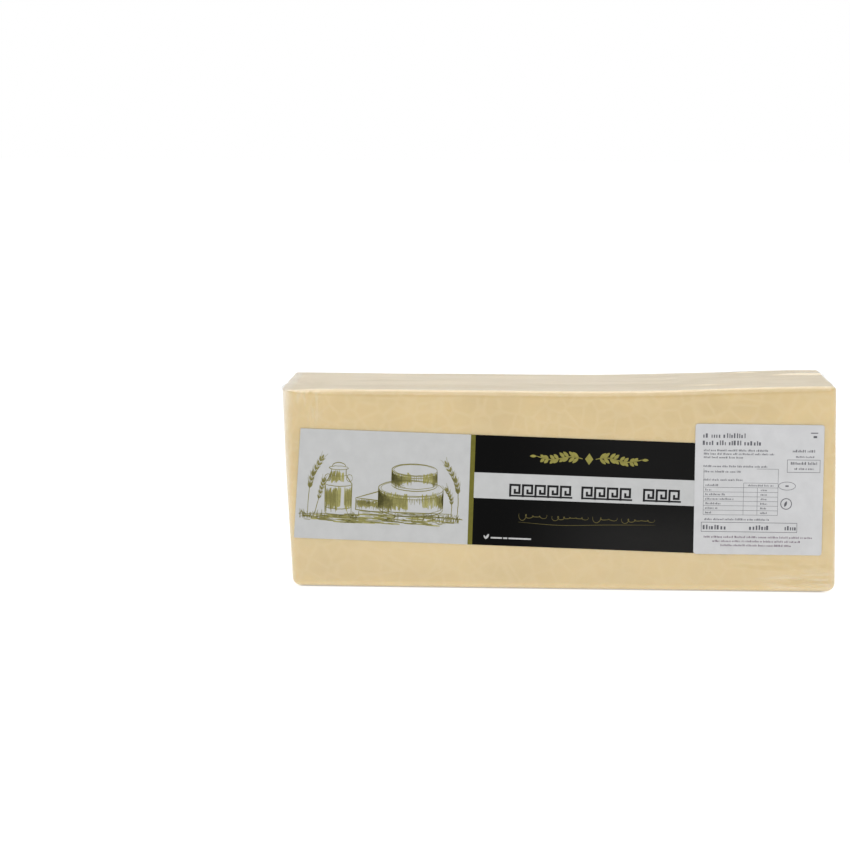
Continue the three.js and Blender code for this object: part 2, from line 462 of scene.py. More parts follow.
# Where the film is painted milky white, as painted light: a painted reflection along the left end's
# front edge, and painted glints of creases in streaks near two corners. Each fade is an axis and the
# places where it starts and ends, and streaks lie where all their fades are high.
LEFT_EDGE_GLARE, LEFT_EDGE_GLARE_TOP = ("X", -0.163, -0.1685), ("Z", 0.105, 0.123)
AT_FRONT = ("Y", -0.043, -0.0455)
PAINTED_GLINT_STREAKS = [
    ((1.0, 1.0, 0.12), (AT_FRONT, ("X", -0.144, -0.152), ("Z", 0.098, 0.108))),
    ((0.08, 1.0, 1.0), (AT_FRONT, ("X", 0.11, 0.145), ("Z", 0.02, 0.008))),
]
# How strong the painted reflection along the left edge and the painted glints are
EDGE_PAINTED_GLARE, STREAK_PAINTED_GLARE = 0.12, 0.13


def film_shine(look, relief, outside):
    """The share of light that the film's outer and inner side reflect together."""
    one_side = look.node("Fresnel", {"IOR": FILM_IOR, "Normal": relief}).outputs["Fac"]
    twice = look.times(one_side, 2.0)
    both_sides = look.math("DIVIDE", twice, look.math("ADD", one_side, 1.0))
    return look.times(look.math("MINIMUM", both_sides, MOST_SHINE), outside)


def film_painted_glare(look, outside):
    """How much painted light the film has, as milky white: a painted reflection along the left end's
    front edge, and painted glints in streaks near two corners.
    """
    at_top = look.times(look.fade(*LEFT_EDGE_GLARE_TOP), EDGE_PAINTED_GLARE)
    drawn = look.times(look.fade(*LEFT_EDGE_GLARE), look.math("ADD", at_top, EDGE_PAINTED_GLARE))
    for stretch, fades in PAINTED_GLINT_STREAKS:
        noise = look.noise(0.002, 2.0, stretch=stretch)
        streaks = look.ramp(noise, [(0.46, (0, 0, 0)), (0.62, (1, 1, 1))])
        for fade in fades:
            streaks = look.times(streaks, look.fade(*fade))
        drawn = look.math("MAXIMUM", drawn, look.times(streaks, STREAK_PAINTED_GLARE))
    return look.times(drawn, outside)


def film_look():
    """Clear tight film: almost unseen face on, and bright with reflections where it turns away."""
    look = Look("clear_film")
    streaks = look.noise(0.008, 3.0, stretch=(0.12, 1.0, 1.0), distortion=0.4)
    relief = look.bump(look.noise(0.0016, 2.0), 0.00003, look.bump(streaks, 0.0003))
    outside = look.math("SUBTRACT", 1.0, look.node("NewGeometry").outputs["Backfacing"])
    clear = look.node("BsdfTransparent", {"Color": FILM_TINT})
    # The milky white of the painted reflection and painted glints
    milk = look.node("BsdfDiffuse", {"Color": PAINTED_GLARE_WHITE})
    gloss = look.node("BsdfGlossy", {"Roughness": FILM_ROUGHNESS, "Normal": relief})
    # The clear film, painted milky white where its reflection and glints are painted in
    body = look.blend(clear.outputs["BSDF"], milk.outputs["BSDF"], film_painted_glare(look, outside))
    whole = look.blend(body, gloss.outputs["BSDF"], film_shine(look, relief, outside))
    look.feed(whole, look.tree.nodes["Material Output"].inputs["Surface"])
    look.tree.nodes.remove(look.shader)
    return look.material


def paper_look(name, colour, roughness):
    """Smooth coated paper with a faint mottle."""
    look = Look(name)
    base = look.uneven(look.noise(0.008, 5.0, roughness=0.6), colour, 0.955, 1.04)
    return look.on_paper(base, roughness, specular=0.2)


def ink_look(name, colour):
    """Printed ink, a little uneven in strength."""
    look = Look(name)
    base = look.uneven(look.noise(0.0025, 3.0), colour, 0.9, 1.1)
    return look.on_paper(base, roughness=0.45, specular=0.15)


# Where the black panel's colour is painted lighter, as a painted reflection: a fade towards its right
# and one towards its foot
PAINTED_SHEEN_RIGHT, PAINTED_SHEEN_LOW = ("X", -0.04, 0.05), ("Z", 0.06, 0.03)


def black_look():
    """Black ink whose colour is painted lighter towards its lower right, as a painted reflection."""
    look = Look("black_panel")
    right, low = look.fade(*PAINTED_SHEEN_RIGHT), look.fade(*PAINTED_SHEEN_LOW)
    painted_sheen = look.times(right, look.math("ADD", look.times(low, 0.6), 0.4))
    base = look.mix(BLACK, BLACK_PAINTED_SHEEN, painted_sheen)
    base = look.mix(base, (1.15, 1.15, 1.15), look.noise(0.003, 3.0), "MULTIPLY")
    return look.on_paper(base, roughness=0.4, specular=0.04)


# The block

HELD_SMOOTH, LET_GO = 1.0, 6.0


def label_cover(x, z):
    """1 under the labels, where the film is held smooth, falling to 0 a few millimetres outside."""
    cover = 0
    for label in (LONG_LABEL, WEIGHT_LABEL):
        a, b = on_label(label, x, z)
        outside = np.maximum(np.maximum(-a, a - label["width"]), np.maximum(-b, b - label["height"]))
        cover = np.maximum(cover, 1 - smoothstep(outside, HELD_SMOOTH, LET_GO))
    return cover


# Creases of the film: the axis and side of their face, the region they start in along the other
# two axes, their count, mean direction and spread in degrees, and ranges of their length, width
# and rise
Creases = namedtuple("Creases", "face low high count turn long wide rise")
TOP, FRONT, BACK = (2, 1), (1, -1), (1, 1)
CREASES = [
    Creases(TOP, (-175, -28), (100, 32), 18, (0, 2), (60, 170), (8.0, 20.0), (0.15, 0.55)),
    Creases(TOP, (60, -28), (150, 30), 26, (8, 12), (25, 80), (6.0, 16.0), (0.15, 0.65)),
    Creases(TOP, (-172, -46), (-150, 10), 12, (30, 30), (6, 20), (3.0, 6.0), (0.1, 0.4)),
    Creases(FRONT, (92, 3), (135, 20), 18, (-3, 4), (25, 75), (2.0, 3.4), (0.25, 0.55)),
    Creases(FRONT, (145, 5), (166, 24), 8, (-32, 14), (8, 18), (1.8, 2.8), (0.25, 0.5)),
    Creases(FRONT, (-163, 104), (-146, 110), 9, (86, 8), (8, 18), (1.8, 2.6), (0.25, 0.5)),
    Creases(FRONT, (-150, 2), (100, 8), 14, (84, 10), (8, 18), (2.0, 3.4), (0.05, 0.14)),
    Creases(FRONT, (-140, 106), (165, 112), 16, (84, 14), (8, 18), (2.0, 3.6), (0.05, 0.14)),
    Creases(BACK, (-170, 4), (120, 120), 34, (0, 16), (25, 110), (2.4, 4.5), (0.2, 0.55)),
]
CREASES += [
    Creases((0, end), (-42, 2), (42, 70), 36, (88, 18), (25, 80), (2.2, 4.0), (0.15, 0.45))
    for end in (-1, 1)
]


def crease_relief(points, normals):
    """How far the film's creases stand up, each a low ridge that fades at both ends."""
    rng = np.random.default_rng(11)
    bent = points + np.stack([0.6 * waves(points, 16.0, seed) for seed in (31, 32, 33)], -1)
    relief = np.zeros(len(points))
    for group in CREASES:
        axis, side = group.face
        on_face = smoothstep(normals[:, axis] * side, 0.2, 0.7)
        across = [i for i in range(3) if i != axis]
        for _ in range(group.count):
            start = rng.uniform(group.low, group.high)
            turn = math.radians(rng.normal(*group.turn))
            spans = (group.long, group.wide, group.rise)
            length, width, rise = (rng.uniform(*span) for span in spans)
            a, b = (bent[:, across] - start).T
            t = (a * math.cos(turn) + b * math.sin(turn)) / length
            away = (b * math.cos(turn) - a * math.sin(turn)) / (width / 2)
            ends = np.clip(4 * t * (1 - t), 0, 1)
            relief += on_face * rise * ends * np.exp(-(away**2))
    return relief


# Where the film stands off the cheese at a corner: place, reach and height
TENTS = [((-172, -24, 122), 8.0, 1.6), ((172, 30, 126), 9.0, 0.5)]


def off_floor(normals):
    """0 on the block's foot, which stays flat, and 1 on its sides and top."""
    return smoothstep(normals[:, 2], -0.9, -0.5)


def film_relief(points, normals):
    """How far the film moves out: creases, fine drawn lines and two tented corners."""
    front = smoothstep(-normals[:, 1], 0.5, 0.9)
    bare = 1 - front * label_cover(points[:, 0], points[:, 2])
    drawn = 0.03 * waves(points, 6.0, 5, stretch=(14, 1, 1))
    tented = 0
    for place, reach, high in TENTS:
        away = np.linalg.norm(points - np.array(place), axis=1) / reach
        tented = tented + high * np.exp(-(away**2))
    stands = drawn + tented + crease_relief(points, normals)
    return off_floor(normals) * (settled(points) + bare * stands)


def cheese_relief(points, normals):
    return off_floor(normals) * settled(points) - UNDER_FILM


def make_block():
    points, faces = skin(CHEESE_STEPS, cheese_relief)
    cheese = new_piece("cheese", points, faces, [cheese_look()])
    points, faces = skin(SKIN_STEPS, film_relief)
    film = new_piece("film", points, faces, [film_look()])
    for piece in (cheese, film):
        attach(piece, "root")
        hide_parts("sealed_block")


# Paper of the labels

def grid_inside(width, height, step, margin):
    across, up = width - 2 * margin, height - 2 * margin
    columns, rows = max(1, round(across / step)), max(1, round(up / step))
    return [
        (margin + across * i / columns, margin + up * j / rows)
        for i in range(columns + 1)
        for j in range(rows + 1)
    ]


def label_paper(name, label, place, step, materials, lines=(), field=None):
    """A sheet of paper; field(a, b) gives the material of each place on its printed side."""
    size = label["width"], label["height"]
    outline = slanted(rounded_outline(*size, label["corner"], step), label)
    inside = slanted(grid_inside(*size, step, step / 2), label)
    points, faces = triangles(outline, inside, lines)
    solid, all_faces, fronts = thin_solid(points, faces, place, 0.0, PAPER)
    of_faces = [0] * len(all_faces)
    if field is not None:
        of_faces[:fronts] = [field(*points[list(face)].mean(0)) for face in faces]
    return new_piece(name, solid, all_faces, materials, of_faces, smooth=False)


GREY_PAPER = (0.518, 0.523, 0.522)
WHITE_PAPER = (0.59, 0.592, 0.6)
OLIVE = (0.142, 0.131, 0.018)
# The black panel's ink, and the lighter colour of its painted reflection
BLACK, BLACK_PAINTED_SHEEN = (0.0024, 0.0024, 0.0024), (0.0155, 0.0152, 0.0148)

# Fields of the long label, from and to: a stripe, which a black panel follows, and the band of
# bare paper across that panel
STRIPE, BAND = (108.1, 111.0), (29.4, 45.4)
LONG_LABEL_STEP, WEIGHT_LABEL_STEP = 3.0, 1.0


def long_label_field(a, b):
    """0 bare paper, 1 the olive stripe, 2 the black panel."""
    if STRIPE[0] < a < STRIPE[1]:
        return 1
    in_band = BAND[0] < b < BAND[1]
    return 2 if a > STRIPE[1] and not in_band else 0


def field_lines(step):
    """The lines between the fields, which the sheet's triangles follow."""
    height, width = LONG_LABEL["height"], LONG_LABEL["width"]
    ends = [((a, 0.0), (a, height)) for a in STRIPE]
    ends += [((STRIPE[1], b), (width, b)) for b in BAND]
    return [spaced(start, end, step) + [end] for start, end in ends]


def make_papers():
    looks = [
        paper_look("grey_coated_paper", GREY_PAPER, 0.4),
        ink_look("olive_stripe", OLIVE),
        black_look(),
    ]
    lines = field_lines(LONG_LABEL_STEP)
    long_label = label_paper(
        "long_label_sheet", LONG_LABEL, on_long_label, LONG_LABEL_STEP, looks, lines, long_label_field
    )
    white = [paper_look("white_label_paper", WHITE_PAPER, 0.5)]
    weight_label = label_paper(
        "weight_label_sheet", WEIGHT_LABEL, on_weight_label, WEIGHT_LABEL_STEP, white
    )
    for piece, node in ((long_label, "long_label"), (weight_label, "weight_label")):
        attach(piece, "root")
        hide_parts(node)


# Print

INK_FOOT, INK_HEAD, WASH_HEAD = PAPER - 0.05, PAPER + 0.03, PAPER + 0.015


class Ink:
    """Flat shapes of one ink on a label, gathered as thin solids that follow the paper."""

    def __init__(self, name, place, material, slot, head):
        self.name, self.place, self.material, self.slot = name, place, material, slot
        self.head = head
        self.points, self.faces, self.count = [], [], 0

    def add(self, points, faces):
        solid, all_faces, _ = thin_solid(np.array(points), faces, self.place, INK_FOOT, self.head)
        self.faces += [tuple(i + self.count for i in face) for face in all_faces]
        self.points.append(solid)
        self.count += len(solid)

    def shape(self, outline):
        self.add(*triangles(outline))

    def stroke(self, path, width, taper=0.0, step=1.0):
        """A pen stroke along a path; taper is the share of its width lost at its ends."""
        path = [p for a, b in zip(path, path[1:]) for p in spaced(a, b, step)] + [path[-1]]
        path = np.array(path)
        ways = np.diff(path, axis=0)
        ways = ways / np.linalg.norm(ways, axis=1, keepdims=True)
        before, after = np.vstack([ways[:1], ways]), np.vstack([ways, ways[-1:]])
        mean = before + after
        mean = mean / np.maximum(np.linalg.norm(mean, axis=1, keepdims=True), 1e-6)
        mitre = 1 / np.clip((mean * after).sum(1), 0.5, 1)
        t = np.linspace(-1, 1, len(path))
        half = width / 2 * (1 - taper * t**4) * mitre
        side = np.stack([-mean[:, 1], mean[:, 0]], -1) * half[:, None]
        faces, count = [], len(path)
        for i in range(count - 1):
            faces += [(i + count, i + count + 1, i + 1), (i + count, i + 1, i)]
        self.add(np.concatenate([path + side, path - side]), faces)

    def bar(self, a, b, length, height):
        """A level bar with its left end at a and its middle line at b."""
        self.stroke([(a, b), (a + length, b)], height)

    def frame_of(self, a0, b0, a1, b1, width):
        half = width / 2
        for b in (b0, b1):
            self.stroke([(a0 - half, b), (a1 + half, b)], width)
        for a in (a0, a1):
            self.stroke([(a, b0 + half), (a, b1 - half)], width)

    def ring(self, a, b, across, up, width):
        turns = [2 * math.pi * i / 40 for i in range(41)]
        path = [(a + across * math.cos(t), b + up * math.sin(t)) for t in turns]
        self.stroke(path, width)

    def leaf(self, a, b, turn, length, width):
        """A pointed leaf from its foot at a, b, turned by degrees from level."""
        turn = math.radians(turn)
        sides = [(t, math.sin(math.pi * t) ** 0.8) for t in np.linspace(0, 1, 9)]
        outline = [(t * length, -s * width / 2) for t, s in sides]
        outline += [(t * length, s * width / 2) for t, s in reversed(sides[1:-1])]
        c, s = math.cos(turn), math.sin(turn)
        self.shape([(a + p * c - q * s, b + p * s + q * c) for p, q in outline])

    def finish(self):
        points = np.concatenate(self.points)
        piece = new_piece(self.name, points, self.faces, [self.material], smooth=False)
        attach(piece, "root")


def curve(points, count):
    """A smooth path through the points."""
    points = [np.array(p, float) for p in points]
    points = [2 * points[0] - points[1]] + points + [2 * points[-1] - points[-2]]
    path = []
    for i in range(1, len(points) - 2):
        p0, p1, p2, p3 = points[i - 1 : i + 3]
        for t in np.linspace(0, 1, count, endpoint=False):
            path.append(
                0.5 * (2 * p1 + (p2 - p0) * t + (2 * p0 - 5 * p1 + 4 * p2 - p3) * t**2
                       + (3 * p1 - p0 - 3 * p2 + p3) * t**3)
            )
    return [tuple(p) for p in path] + [tuple(points[-2])]


# Where the sketch has its wash: from and to along and up the label, and how many strokes
SHADES = [
    (19.6, 28.0, 18, 33.0, 14), (31.0, 34.4, 18, 33.0, 6), (22.8, 30.0, 35, 43.0, 9),
    (53.0, 70.0, 19.5, 31, 24), (80.0, 91.0, 21, 32, 12), (61.0, 72.0, 35.6, 43.6, 15),
    (80.0, 87.0, 36.2, 44, 8), (40.0, 54.0, 20.5, 25.5, 18),
]


class Sketch:
    """A pen drawing for the long label's left: a stack of cheeses on a board, a cut wedge, a milk
    churn and ears of wheat."""

    def __init__(self, ink):
        self.ink = ink
        self.rng = np.random.default_rng(21)

    def pen(self, path, width=0.45, wobble=0.12):
        shaken = [tuple(np.array(p) + self.rng.normal(0, wobble, 2)) for p in path]
        self.ink.stroke(shaken, width * self.rng.uniform(0.8, 1.2), 0.5)

    def arc(self, a, b, across, up, start, end, width):
        turns = np.radians(np.linspace(start, end, max(5, int((end - start) / 9))))
        self.pen([(a + across * math.cos(t), b + up * math.sin(t)) for t in turns], width, 0.06)

    def hatch(self, top, foot, ends, count, reach, width=0.36):
        """Strokes from top(t) towards foot(t), t over ends, covering a random part of reach."""
        for t in np.linspace(*ends, count):
            start = self.rng.uniform(0, 0.25) * reach
            stop = reach * self.rng.uniform(0.55, 1.0)
            (a0, b0), (a1, b1) = top(t), foot(t)
            path = [(lerp(a0, a1, k), lerp(b0, b1, k)) for k in (start, stop)]
            self.pen(path, width, 0.08)

    def ground(self):
        lines = ((13.6, 4, 84), (15.4, 2, 40), (12.4, 20, 70), (15.8, 88, 105), (11.6, 34, 58))
        for b, start, end in lines:
            self.pen(curve([(start, b), ((start + end) / 2, b + 0.5), (end, b - 0.6)], 6), 0.5)
        for _ in range(70):
            a, b = self.rng.uniform((4, 11.4), (100, 15.6))
            self.pen([(a, b), (a + self.rng.uniform(2, 7), b + self.rng.normal(0, 0.25))], 0.38)

    def board(self, start, end, b):
        for level, width in ((b, 0.5), (b - 2.4, 0.6)):
            self.pen([(start, level), ((start + end) / 2, level), (end, level)], width, 0.08)
        for a in (start, end):
            self.pen([(a, b), (a, b - 2.4)], 0.5, 0.05)
        for _ in range(34):
            a = self.rng.uniform(start + 1, end - 8)
            level = self.rng.uniform(b - 2.1, b - 0.3)
            self.pen([(a, level), (a + self.rng.uniform(3, 7), level)], 0.3, 0.04)

    def drum(self, a, b, across, up, height):
        """A round cheese seen a little from above, its side hatched, darkest at its left."""
        self.arc(a, b, across, up, 0, 360, 0.6)
        self.arc(a, b, across * 0.93, up * 0.9, 20, 340, 0.3)
        self.arc(a, b - height, across, up, 180, 360, 0.65)
        for side in (-1, 1):
            self.pen([(a + side * across, b), (a + side * across, b - height)], 0.6)
        for share in (0.14, 0.86):
            self.arc(a, b - height * share, across, up, 184, 356, 0.34)
        rim = lambda t: (a + across * math.cos(math.radians(t)), b + up * math.sin(math.radians(t)))
        foot = lambda t: (rim(t)[0], rim(t)[1] - height)
        self.hatch(rim, foot, (182, 236), int(across * 2.4), 1.0, 0.42)
        self.hatch(rim, foot, (186, 262), int(across * 2.2), 0.8)
        self.hatch(rim, foot, (262, 325), int(across * 1.1), 0.45)
        self.hatch(rim, foot, (325, 358), int(across * 1.2), 0.95)
        for share in np.linspace(0.2, 0.8, 6):
            self.arc(a, b - height * share, across, up, 184, self.rng.uniform(215, 250), 0.3)

    def wedge(self, a, b, length, depth, height):
        """A cut wedge with its point to the left."""
        tip, near, far = (a, b), (a + length, b - depth * 0.35), (a + length * 0.86, b + depth)
        down = lambda p: (p[0], p[1] - height)
        for path in ([tip, near, far, tip], [tip, down(tip), down(near), near]):
            self.pen(path, 0.6, 0.05)
        self.pen(curve([near, (near[0] + 1.6, near[1] + depth * 0.6), far], 5), 0.55, 0.05)
        edge = lambda t: (lerp(tip[0], near[0], t), lerp(tip[1], near[1], t))
        self.hatch(edge, lambda t: down(edge(t)), (0.03, 0.97), 34, 0.95)
        self.hatch(edge, lambda t: down(edge(t)), (0.03, 0.5), 16, 0.7)
        for hole_a, hole_b, size in ((0.45, 0.55, 1.5), (0.68, 0.35, 1.1), (0.8, 0.7, 0.8)):
            self.arc(a + length * hole_a, b - height * hole_b, size, size * 0.7, 0, 360, 0.45)

    def churn(self, a, b, half, height):
        """A milk churn standing on b, with a neck and a lid."""
        sides = [(half, 0), (half * 1.02, height * 0.58), (half * 0.56, height * 0.76),
                 (half * 0.54, height * 0.86), (half * 0.72, height * 0.9)]
        for side in (-1, 1):
            self.pen([(a + side * p, b + q) for p, q in sides], 0.6, 0.04)
        rims = ((0, 1, 180, 360), (0.58, 1.02, 184, 356), (0.76, 0.56, 190, 350),
                (0.9, 0.72, 0, 360), (0.12, 1, 184, 356))
        for level, share, start, end in rims:
            self.arc(a, b + height * level, half * share, half * 0.2 * share, start, end, 0.45)
        self.arc(a, b + height * 0.93, half * 0.5, half * 0.3, 0, 180, 0.5)
        for side in (-1, 1):
            self.arc(a + side * half * 0.82, b + height * 0.7, half * 0.22, height * 0.07, 0, 360, 0.4)
        top = lambda t: (a + t * half, b + height * 0.56 - half * 0.2 * math.sqrt(1 - t * t))
        foot = lambda t: (a + t * half, b - half * 0.2 * math.sqrt(1 - t * t))
        self.hatch(top, foot, (-0.97, -0.2), 20, 1.0, 0.42)
        self.hatch(top, foot, (0.55, 0.97), 10, 0.9)
        neck = lambda t: (a + t * half * 0.56, b + height * 0.86)
        shoulder = lambda t: (a + t * half, b + height * 0.58)
        self.hatch(neck, shoulder, (-0.95, 0.1), 14, 0.95)

    def ear(self, points, kernels, size):
        """An ear of wheat on a bent stem."""
        stem = curve(points, 8)
        self.pen(stem, 0.45, 0.05)
        start = int(len(stem) * 0.45)
        for k in range(kernels):
            i = int(start + (len(stem) - 2 - start) * k / (kernels - 1))
            a, b = stem[i]
            turn = math.degrees(math.atan2(stem[i + 1][1] - b, stem[i + 1][0] - a))
            for side in (-1, 1):
                self.ink.leaf(a, b, turn + side * 26, size, size * 0.3)
                awn = math.radians(turn + side * 17)
                tip = (a + 2 * size * math.cos(awn), b + 2 * size * math.sin(awn))
                self.pen([(a, b), tip], 0.24, 0.02)
        self.ink.leaf(*stem[-1], turn, size, size * 0.34)

    def tuft(self, a, b, count, height):
        for _ in range(count):
            x = a + self.rng.normal(0, 2.6)
            lean = self.rng.normal(0, 1.4)
            high = height * self.rng.uniform(0.5, 1)
            blade = [(x, b), (x + lean * 0.4, b + high * 0.6), (x + lean, b + high)]
            self.pen(curve(blade, 3), 0.36, 0.03)

    def wash(self):
        """Broad pale strokes under the pen's, on what lies in shade."""
        for a0, a1, b0, b1, count in SHADES:
            for a in np.linspace(a0, a1, count):
                low = b0 + self.rng.uniform(0, 0.25) * (b1 - b0)
                high = b1 - self.rng.uniform(0, 0.3) * (b1 - b0)
                path = [(a, low), (a + self.rng.normal(0, 0.3), high)]
                self.ink.stroke(path, self.rng.uniform(0.7, 1.3), 0.4)
        for _ in range(80):
            a, b = self.rng.uniform((5, 11.0), (94, 16.5))
            path = [(a, b), (a + self.rng.uniform(4, 11), b - 0.3)]
            self.ink.stroke(path, self.rng.uniform(0.5, 1.0), 0.5)

    def draw(self):
        self.ground()
        self.churn(27, 17, 8.2, 31)
        self.board(40, 98, 18.4)
        self.drum(72, 33.5, 20, 5.2, 12.5)
        self.drum(74, 45.2, 14, 3.8, 9.4)
        self.wedge(38, 26.6, 17, 4.6, 7.4)
        self.ear([(8, 14), (8.6, 27), (10.5, 39), (16, 50)], 8, 3.4)
        self.ear([(12, 14), (14, 22), (16, 30), (17.5, 36)], 5, 2.8)
        self.ear([(101, 15), (101.5, 27), (100, 38), (94, 49)], 8, 3.4)
        self.ear([(97, 15), (97.6, 22), (97, 28), (94.6, 33)], 5, 2.8)
        for a, count in ((7, 16), (15, 10), (91, 10), (100, 16), (38, 9), (60, 6), (80, 6)):
            self.tuft(a, 12.8, count, 6)


def title_sprig(ink):
    """A level sprig either side of a lozenge, on the upper black panel."""
    middle_a, middle_b, half = 181.4, 56.2, 34.4
    for way in (-1, 1):
        stem = [(middle_a + way * (4 + (half - 6) * t), middle_b + 1.1 * math.sin(2.2 * math.pi * t))
                for t in np.linspace(0, 1, 24)]
        ink.stroke(stem, 0.7, 0.5)
        for k in range(8):
            a, b = stem[2 + 2 * k + k // 2]
            level = 0 if way > 0 else 180
            for side in (-1, 1):
                ink.leaf(a, b, level + way * side * 42, 5.2 - 0.25 * k, 2.0)
        ink.leaf(*stem[-1], 0 if way > 0 else 180, 4.2, 1.7)
    size = 3.6
    ink.shape([(middle_a - size * 0.7, middle_b), (middle_a, middle_b - size),
               (middle_a + size * 0.7, middle_b), (middle_a, middle_b + size)])


def band_keys(ink):
    """Black meanders in three groups, on the pale band."""
    low, high, width = 31.0, 38.4, 1.35
    for start, end, count in ((133.5, 172.6, 5), (178.0, 209.5, 4), (216.0, 239.5, 3)):
        cell = (end - start) / count
        for k in range(count):
            a = start + k * cell
            rise = high - low
            path = [(a, low), (a, high), (a + cell * 0.72, high), (a + cell * 0.72, low + rise * 0.34),
                    (a + cell * 0.36, low + rise * 0.34), (a + cell * 0.36, low + rise * 0.66)]
            ink.stroke(path, width)
            foot = low + width / 2
            ink.stroke([(a + width / 2, foot), (a + cell - width / 2, foot)], width * 0.8)


def scroll_line(ink):
    """Runs of pen loops in dull gold, under the band: start, length, loops and height."""
    for start, length, loops, high in (
        (139.5, 17, 4, 2.3), (160, 22, 6, 1.5), (185, 15, 3, 2.2), (203, 20, 5, 1.6),
    ):
        path = []
        for t in np.linspace(0, 1, loops * 14 + 1):
            turn = 2 * math.pi * loops * t
            swell = 0.55 + 0.45 * math.cos(math.pi * 1.6 * t)
            path.append((start + length * t - 1.1 * math.sin(turn),
                         18.2 + high * swell * math.cos(turn) + 0.9 * math.sin(2.4 * t)))
        ink.stroke(path, 0.4, 0.6, 0.6)
    ink.stroke(curve([(139, 15.3), (165, 14.2), (195, 15.6), (224, 16.6)], 10), 0.28, 0.7)


def small_mark(ink):
    ink.leaf(119.4, 3.8, 62, 3.8, 1.4)
    ink.leaf(119.4, 3.8, 118, 2.8, 1.1)
    for a, length in ((122.4, 7.0), (130.1, 2.6), (133.4, 14.0)):
        ink.bar(a, 4.8, length, 0.95)


def block_row(ink, rng, a0, a1, b, height, mean):
    """A row of small upright blocks in runs of about the mean length, some taller."""
    a = a0
    while a < a1 - height * 0.5:
        stop = min(a + max(height, rng.normal(mean, mean * 0.35)), a1)
        while a < stop:
            high = height * rng.choice([0.66, 0.66, 0.7, 1.0, 0.92])
            width = height * rng.uniform(0.2, 0.44)
            ink.stroke([(a, b - height / 2), (a, b - height / 2 + high)], width)
            a += width + height * rng.uniform(0.2, 0.36)
        a += height * 0.45


def weight_print(ink):
    """The weight label's grey print: rows of blocks, a ruled table, boxes, an oval and a ring.
    A row is its start, end, middle line, height and mean run."""
    rng = np.random.default_rng(8)
    rows = [(5.2, 30.5, 73.9, 2.9, 9.0), (5.2, 40.3, 69.4, 2.9, 8.5)]
    for b, end in ((64.8, 46.0), (62.6, 48.3), (60.4, 29.7), (54.9, 44.5), (51.6, 28.1), (46.5, 29.5)):
        rows.append((5.6, end, b, 1.25, 4.2))
    for row in rows:
        block_row(ink, rng, *row)
    table(ink, rng)
    for row in (
        (6.6, 46.4, 21.9, 1.3, 6.0), (6.1, 19.5, 16.9, 2.9, 20.0),
        (34.6, 45.4, 16.9, 2.9, 20.0), (56.2, 62.4, 16.9, 2.9, 20.0),
        (60.0, 74.0, 64.8, 1.6, 6.0), (62.0, 73.3, 61.2, 1.1, 6.0),
        (59.0, 74.6, 57.2, 1.7, 7.0), (61.0, 72.5, 53.9, 1.4, 6.0),
    ):
        block_row(ink, rng, *row)
    ink.frame_of(4.6, 14.1, 63.3, 19.9, 0.28)
    ink.frame_of(56.6, 51.6, 76.6, 59.3, 0.26)
    ink.bar(70.6, 76.0, 4.4, 0.6)
    ink.bar(72.2, 73.6, 2.2, 1.3)
    ink.ring(56.7, 43.0, 5.2, 2.5, 0.28)
    ink.bar(55.7, 43.0, 2.0, 0.9)
    ink.ring(56.4, 31.9, 3.3, 3.3, 0.5)
    ink.leaf(55.4, 30.0, 70, 3.9, 1.5)


def table(ink, rng):
    left, right, head = 5.6, 51.2, 44.6
    rows = [head - 2.85 * i for i in range(8)]
    line = 0.2
    for i, b in enumerate(rows):
        ink.bar(left if i else 30.1, b, (right - left) if i else right - 30.1, line)
    for a, top in ((left, 53.4), (30.1, head), (38.6, rows[1]), (right, 53.4)):
        ink.stroke([(a, rows[-1]), (a, top)], line)
    ink.bar(38.0, 53.4, right - 38.0, line)
    block_row(ink, rng, 33.0, 48.5, (rows[0] + rows[1]) / 2, 1.2, 5.0)
    for top, foot, length in zip(rows, rows[1:], (9.0, 3.6, 12.0, 17.5, 9.5, 7.5, 3.6)):
        block_row(ink, rng, 7.0, 7.0 + length, (top + foot) / 2, 1.3, 7.0)
    for top, foot in zip(rows[1:], rows[2:]):
        block_row(ink, rng, 40.8, 44.6, (top + foot) / 2, 1.2, 9.0)


def footer_print(ink):
    rng = np.random.default_rng(9)
    for b, start, end in ((10.9, 6.5, 73.4), (8.3, 11.7, 66.6), (5.7, 16.9, 61.3)):
        block_row(ink, rng, start, end, b, 1.3, 5.0)


def make_print():
    """Every ink with its label, its colour and what is printed in it. The wash lies lowest."""
    long_label = (on_long_label, "long_label_paper")
    weight_label = (on_weight_label, "weight_label_paper")
    inks = [
        ("label_sketch_wash", long_label, (0.34, 0.32, 0.12), lambda ink: Sketch(ink).wash()),
        ("label_sketch", long_label, (0.225, 0.208, 0.07), lambda ink: Sketch(ink).draw()),
        ("label_sprig", long_label, (0.27, 0.245, 0.06), title_sprig),
        ("label_keys", long_label, (0.008, 0.008, 0.009), band_keys),
        ("label_scroll", long_label, (0.12, 0.1, 0.03), scroll_line),
        ("label_mark", long_label, (0.5, 0.5, 0.5), small_mark),
        ("weight_label_print", weight_label, (0.12, 0.12, 0.135), weight_print),
        ("weight_label_foot", weight_label, (0.16, 0.11, 0.15), footer_print),
    ]
    for name, (place, slot), colour, draw in inks:
        head = WASH_HEAD if name.endswith("wash") else INK_HEAD
        ink = Ink(name, place, ink_look(name + "_ink", colour), slot, head)
        draw(ink)
        ink.finish()


# The studio

CAMERA_PLACE = (-2.15, -1700.4, 318.9)
CAMERA_PITCH, CAMERA_YAW, CAMERA_ROLL = 7.44, 2.767, 0.19
FOCAL_PIXELS, FRAME_PIXELS, SENSOR = 2706.3, 850.0, 36.0
FLOOR_REACH = 8000.0


